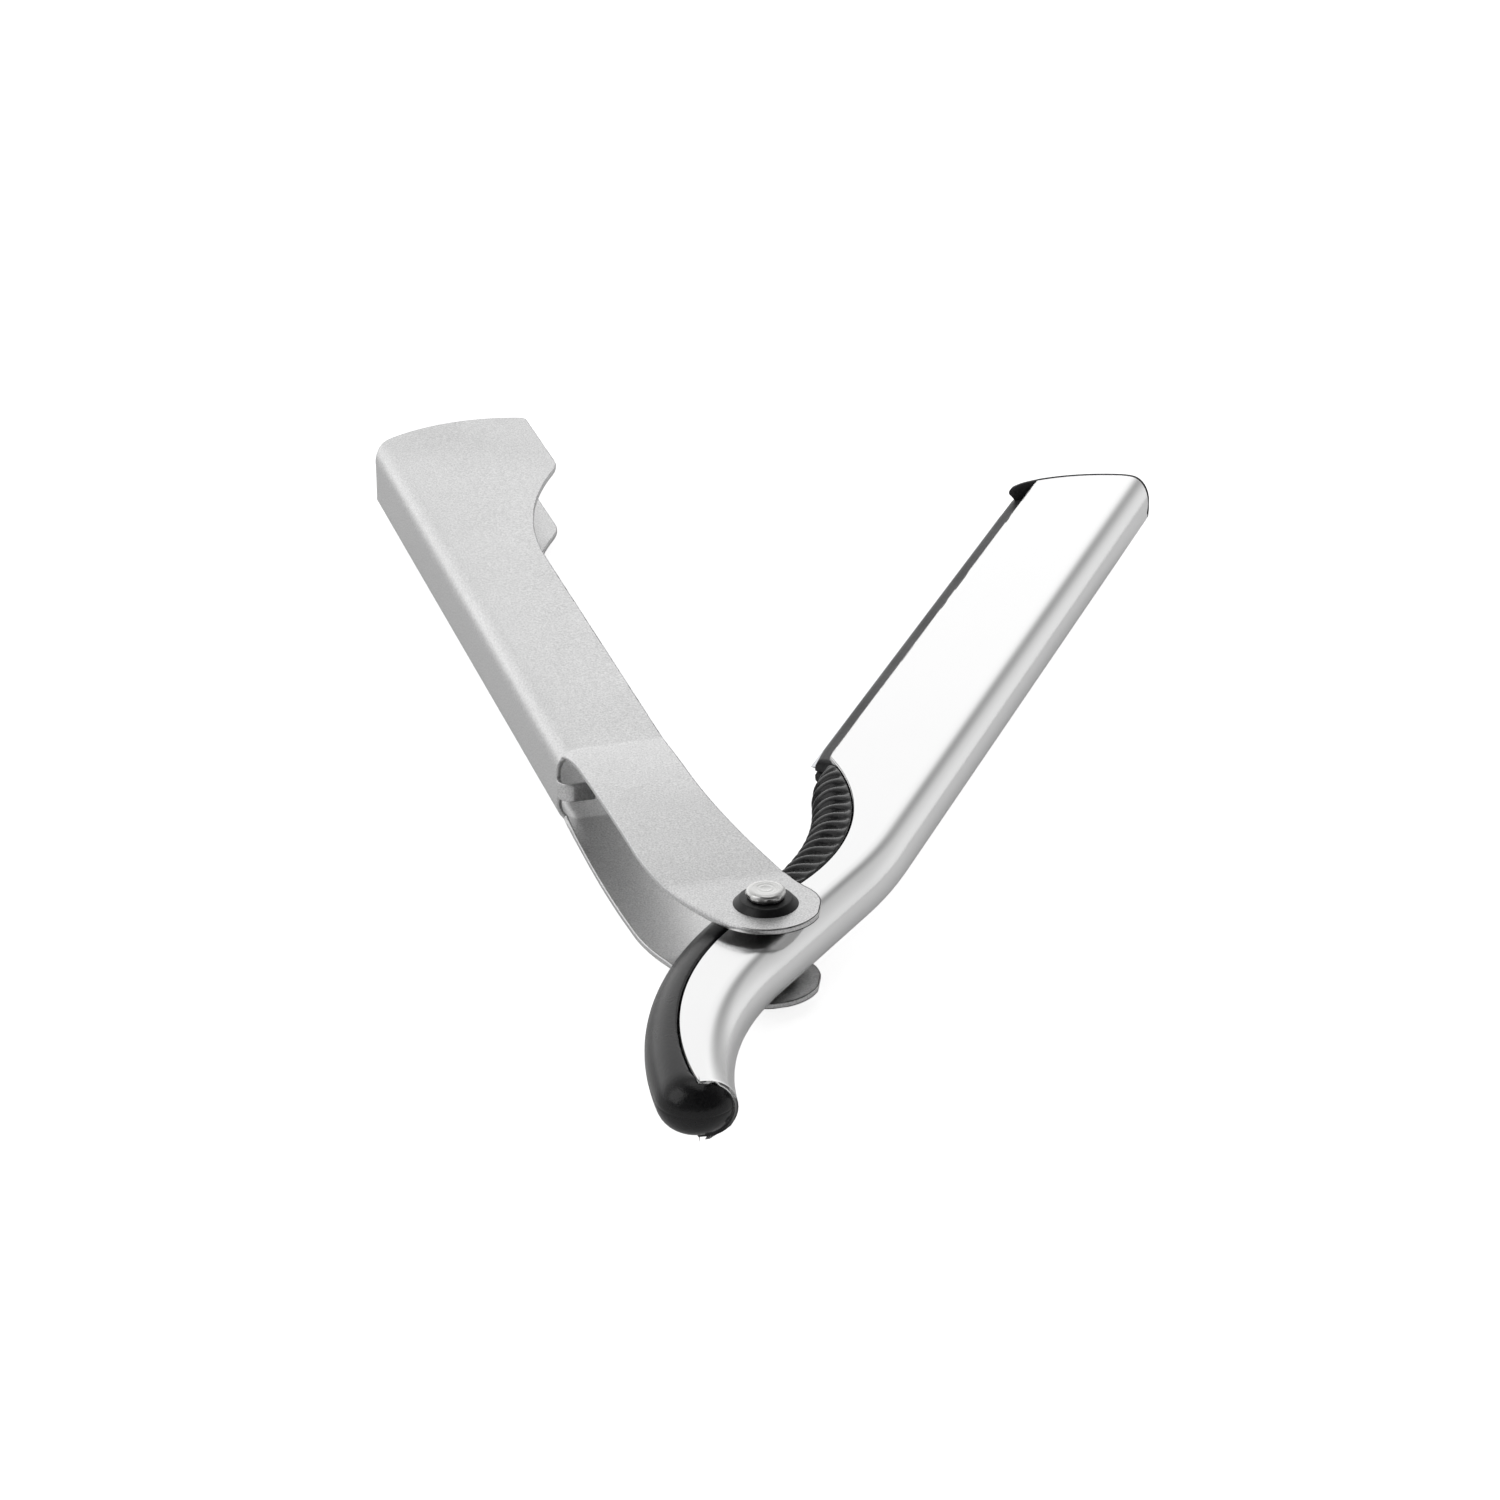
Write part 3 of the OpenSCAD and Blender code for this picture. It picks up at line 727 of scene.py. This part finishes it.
def buildCore():
    a, c = armPlan, coreSize
    stations = coreOutline()
    shares = [0, 0.02, 0.05, 0.1, 0.16, 0.23, 0.31, 0.39, 0.47, 0.55, 0.63, 0.71, 0.78, 0.84, 0.89, 0.93,
              0.96, 0.98, 1.0]
    verts, at = [], {}
    for j, ((px, py), (nx, ny)) in enumerate(stations):
        def open_(d):
            x, y = px + nx * d, py + ny * d
            return not (wallCovers(x, y, lobe=False) and beyondTail(x, y))
        d = 0.02
        while d < 7 and open_(d):
            d += 0.04
        reach = max(d - c["gap"], 0.12)
        if py > 26:
            reach = min(reach, 4.2)
        full = a["half"] * pi / 2
        if reach > a["half"]:
            total = full + reach - a["half"]
        else:
            total = a["half"] * acos((a["half"] - reach) / a["half"])
        shape = []
        for f in shares:
            run = f * total
            if run < full:
                turn = run / a["half"]
                depth, z = a["half"] * (1 - cos(turn)), a["half"] * sin(turn)
            else:
                depth, z = a["half"] + run - full, a["half"]
            x, y = px + nx * depth, py + ny * depth
            # slanted ribs, deepest at the outer edge and fading towards the shell
            inRange = min(max((py - c["ribFrom"]) / 1.2, 0), 1) * min(max((c["ribTo"] - py) / 1.0, 0), 1)
            phase = (y - c["ribSlant"] * (x + 3)) / c["ribPitch"]
            frac = phase - int(phase // 1)
            ridge = sin(pi * frac ** 0.75) ** 0.55
            fade = max(0.0, 1 - (run / total) ** 5) if total > 0 else 0
            sink = c["ribDepth"] * (1 - ridge) * fade * inRange
            if f < 0.03 and inRange < 0.5:
                sink += c["seam"] * (1 - f / 0.03)
            lean = min(run / a["half"], pi / 2)
            outNx, outNy, outNz = -nx * cos(lean), -ny * cos(lean), sin(lean)
            lipDrop = c["lip"] * max(0, (f - 0.96) / 0.04) ** 2
            shape.append((x - outNx * sink, y - outNy * sink, z - outNz * sink - lipDrop))
        lastX, lastY = px + nx * (reach + 0.03), py + ny * (reach + 0.03)
        edgeZ = shape[-1][2]
        low = min(c["innerHalf"], edgeZ - 0.05)
        shape += [(lastX, lastY, edgeZ - 0.08), (lastX, lastY, low)]
        deep = reach + c["tuck"]
        shape += [(px + nx * (reach + 0.2), py + ny * (reach + 0.2), low),
                  (px + nx * deep, py + ny * deep, min(low, 1.9))]
        n = len(shape)
        for k in range(n):
            x, y, z = shape[n - 1 - k]
            at[(k, j)] = len(verts)
            verts.append((x, y, -z))
        for k in range(1, n):
            x, y, z = shape[k]
            at[(n - 1 + k, j)] = len(verts)
            verts.append((x, y, z))
        rowsTotal = 2 * n - 1
    faces = gridFaces(rowsTotal, len(stations), lambda i, j: at.get((i, j)))
    # the inside and the two ends close the moulding
    for j in range(len(stations) - 1):
        faces.append([at[(rowsTotal - 1, j)], at[(rowsTotal - 1, j + 1)], at[(0, j + 1)], at[(0, j)]])
    faces.append([at[(i, 0)] for i in range(rowsTotal)])
    faces.append([at[(i, len(stations) - 1)] for i in reversed(range(rowsTotal))])
    piece = makePiece("tang_moulding", verts, faces, "blade_arm", coreBlack, arm=True)
    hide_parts("tang_core")


buildCore()
print("core built")

# blade holder: jaws inside the shell, end cap and nose at the toe

holderSize = {"from": 32.3, "lipEdge": -6.45, "lipHalf": 0.95, "bodyHalf": 1.85,
              "bodyFrom": -3.5, "bodyTo": 4.2,
              "slot": 0.16, "capThick": 0.45, "capHalf": 2.48}


def buildHolder():
    h, a = holderSize, armPlan
    # upper jaw's cross-section (x, z); the lower one is its mirror image
    lip, lipHalf, body, bodyHalf = h["lipEdge"], h["lipHalf"], h["bodyFrom"], h["bodyHalf"]
    jaw = [(lip + 0.06, h["slot"]), (lip, h["slot"] + 0.12), (lip + 0.05, lipHalf - 0.2),
           (lip + 0.2, lipHalf - 0.05), (lip + 0.45, lipHalf), (body - 0.7, lipHalf + 0.05),
           (body - 0.1, bodyHalf - 0.15), (body + 0.3, bodyHalf), (h["bodyTo"] - 0.5, bodyHalf),
           (h["bodyTo"], bodyHalf - 0.5), (h["bodyTo"], h["slot"]), (2.2, h["slot"])]
    # the jaws run up to the cap, which is curved
    stations = [k / 60 for k in range(61)]
    verts, faces = [], []
    for side in (1, -1):
        base = len(verts)
        n = len(jaw)
        for share in stations:
            for x, z in jaw:
                y = lerp(h["from"], toeLimit(x, a["toeRadius"]) + 0.15, share)
                slim = 0.25 * max(0, 1 - (y - h["from"]) / 3.0) if x < h["bodyFrom"] else 0
                verts.append((x + slim, y, side * z))
        for i in range(len(stations) - 1):
            for k in range(n):
                m = (k + 1) % n
                quad = [base + i * n + k, base + (i + 1) * n + k, base + (i + 1) * n + m, base + i * n + m]
                faces.append(quad if side > 0 else quad[::-1])
        firstCap = [base + k for k in range(n)]
        lastCap = [base + (len(stations) - 1) * n + k for k in range(n)]
        faces.append(firstCap if side > 0 else firstCap[::-1])
        faces.append(lastCap[::-1] if side > 0 else lastCap)
    # end cap: a thin plate along the toe, from the nose to the spine
    inner, outer = a["toeRadius"] + 0.01, a["toeRadius"] + h["capThick"]
    columns = [(-6.5, 1.9, 2.16), (-6.42, 1.7, 2.26), (-6.3, 1.5, 2.3), (-6.1, 1.1, 2.35), (-5.9, 0.6, 2.39),
               (-5.7, 0.02, 2.42), (-5.3, 0.0, 2.45), (-4.8, 0.0, 2.47)]
    columns += [(-4.3 + 11.2 * (k / 40) ** 0.9, 0.0, h["capHalf"]) for k in range(41)]
    for side in (1, -1):
        ring = []
        for x, low, tall in columns:
            beside = x - a["spine"] + a["half"]
            if beside > 0:
                tall = min(tall, sqrt(max(h["capHalf"] ** 2 - beside ** 2, 0.01)))
            yIn, yOut = toeLimit(x, inner), toeLimit(x, outer)
            if x < -4.6:
                yIn -= 0.5
            ring.append([(x, yIn, side * low), (x, yIn, side * tall), (x, lerp(yIn, yOut, 0.8), side * tall),
                         (x, yOut, side * (tall - 0.06)), (x, yOut, side * low)])
        base = len(verts)
        for r in ring:
            verts.extend(r)
        for i in range(len(ring) - 1):
            for k in range(5):
                m = (k + 1) % 5
                quad = [base + i * 5 + k, base + i * 5 + m, base + (i + 1) * 5 + m, base + (i + 1) * 5 + k]
                faces.append(quad if side > 0 else quad[::-1])
        tip, foot = [base + k for k in range(5)], [base + (len(ring) - 1) * 5 + k for k in range(5)]
        faces.append(tip[::-1] if side > 0 else tip)
        faces.append(foot if side > 0 else foot[::-1])
    piece = makePiece("holder_moulding", verts, faces, "holder", holderGrey, arm=True)
    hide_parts("blade_holder")


buildHolder()
print("holder built")

# the blade and the inner washers keep their own shapes
for node, material in (("razor_blade", bladeSteel), ("upper_inner_washer", washerBlack),
                       ("lower_inner_washer", washerBlack)):
    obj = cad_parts[node]
    obj.data.materials.clear()
    obj.data.materials.append(material)

# floor, light and camera

studio = {"worldStrength": 1.3, "zenithTone": 0.4, "floorTone": 0.88, "floorFill": 0.1,
          "floorGlow": 0.7, "dipTurn": 24.0, "dipWidth": 17.0,
          "dipTone": 0.42, "rightTone": 0.62, "backTone": 0.12, "viewTurn": 16.355,
          "keyPower": 0.5, "sidePower": 0.8}


def buildFloor():
    size = 3.0
    mesh = bpy.data.meshes.new("floor")
    mesh.from_pydata([(-size, -size, 0), (size, -size, 0), (size, size, 0), (-size, size, 0)], [],
                     [(0, 1, 2, 3)])
    floor = bpy.data.objects.new("floor", mesh)
    bpy.context.scene.collection.objects.link(floor)
    mat, tree, shader, place = startMaterial("paleFloor")
    tree.links.new(tint(tree, noiseNode(tree, place, 12.0), (studio["floorTone"],) * 3,
                        (studio["floorTone"] + 0.01,) * 3), shader.inputs['Base Color'])
    shader.inputs['Roughness'].default_value = 0.9
    shader.inputs['Specular IOR Level'].default_value = 0.1
    # the floor glows, more to the eye than to the razor above it
    ray = tree.nodes.new('ShaderNodeLightPath').outputs['Is Camera Ray']
    shader.inputs['Emission Color'].default_value = (1, 1, 1, 1)
    glow = mathNode(tree, 'ADD', mathNode(tree, 'MULTIPLY', ray, studio["floorGlow"]), studio["floorFill"])
    tree.links.new(glow, shader.inputs['Emission Strength'])
    mesh.materials.append(mat)


def buildWorld():
    world = bpy.data.worlds.new("studio")
    bpy.context.scene.world = world
    world.use_nodes = True
    tree = world.node_tree
    back = tree.nodes["Background"]
    way = tree.nodes.new('ShaderNodeTexCoord').outputs['Generated']
    turn = tree.nodes.new('ShaderNodeVectorRotate')
    turn.rotation_type = 'Z_AXIS'
    turn.inputs['Angle'].default_value = radians(studio["viewTurn"])
    tree.links.new(way, turn.inputs['Vector'])
    part = tree.nodes.new('ShaderNodeSeparateXYZ')
    tree.links.new(turn.outputs[0], part.inputs[0])
    # a soft grey flag stands to the right of the far wall
    angle = mathNode(tree, 'ARCTAN2', part.outputs[0], part.outputs[1])
    away = mathNode(tree, 'ABSOLUTE', mathNode(tree, 'SUBTRACT', angle, radians(studio["dipTurn"])))
    fall = tree.nodes.new('ShaderNodeMapRange')
    fall.interpolation_type = 'SMOOTHSTEP'
    fall.inputs['From Min'].default_value = 0.0
    fall.inputs['From Max'].default_value = radians(studio["dipWidth"])
    fall.inputs['To Min'].default_value = studio["dipTone"]
    fall.inputs['To Max'].default_value = 1.0
    tree.links.new(away, fall.inputs['Value'])
    # the wall beyond the flag is a little darker
    beyond = tree.nodes.new('ShaderNodeMapRange')
    beyond.inputs['From Min'].default_value = radians(studio["dipTurn"] - 4)
    beyond.inputs['From Max'].default_value = radians(studio["dipTurn"] + 8)
    beyond.inputs['To Min'].default_value = 1.0
    beyond.inputs['To Max'].default_value = studio["rightTone"]
    tree.links.new(angle, beyond.inputs['Value'])
    # bright ahead, dark behind the camera
    ahead = tree.nodes.new('ShaderNodeMapRange')
    ahead.interpolation_type = 'SMOOTHSTEP'
    ahead.inputs['From Min'].default_value = -0.45
    ahead.inputs['From Max'].default_value = 0.6
    ahead.inputs['To Min'].default_value = studio["backTone"]
    ahead.inputs['To Max'].default_value = 1.0
    tree.links.new(part.outputs[1], ahead.inputs['Value'])
    # and darker overhead
    above = tree.nodes.new('ShaderNodeMapRange')
    above.inputs['From Min'].default_value = 0.2
    above.inputs['From Max'].default_value = 0.9
    above.inputs['To Min'].default_value = 1.0
    above.inputs['To Max'].default_value = studio["zenithTone"]
    tree.links.new(part.outputs[2], above.inputs['Value'])
    level = mathNode(tree, 'MULTIPLY', mathNode(tree, 'MULTIPLY', fall.outputs[0], beyond.outputs[0]),
                     ahead.outputs[0])
    tree.links.new(mathNode(tree, 'MULTIPLY', level, above.outputs[0]), back.inputs['Color'])
    back.inputs['Strength'].default_value = studio["worldStrength"]


def addLamp(name, where, towards, size, power):
    lamp = bpy.data.lights.new(name, 'AREA')
    lamp.shape = 'RECTANGLE'
    lamp.size, lamp.size_y = size
    lamp.energy = power
    obj = bpy.data.objects.new(name, lamp)
    obj.location = where
    obj.rotation_euler = (Vector(towards) - Vector(where)).to_track_quat('-Z', 'Y').to_euler()
    bpy.context.scene.collection.objects.link(obj)


def buildCamera():
    cam = bpy.data.cameras.new("view")
    cam.sensor_width = 36
    cam.lens = 112.71
    cam.clip_start = 0.01
    obj = bpy.data.objects.new("view", cam)
    obj.location = (-0.09881, -0.33205, 0.18302 + midHeight * mm)
    obj.rotation_euler = (radians(90 - 25.5), 0, radians(-16.355))
    bpy.context.scene.collection.objects.link(obj)
    bpy.context.scene.camera = obj


buildFloor()
buildWorld()
addLamp("overhead", (0.1, 0.1, 0.7), (0.0, 0.05, 0.0), (0.5, 0.4), studio["keyPower"])
addLamp("leftBox", (-0.5, -0.05, 0.35), (0.0, 0.0, 0.0), (0.4, 0.5), studio["sidePower"])
buildCamera()
bpy.context.scene.view_settings.view_transform = 'Standard'
print("studio ready")
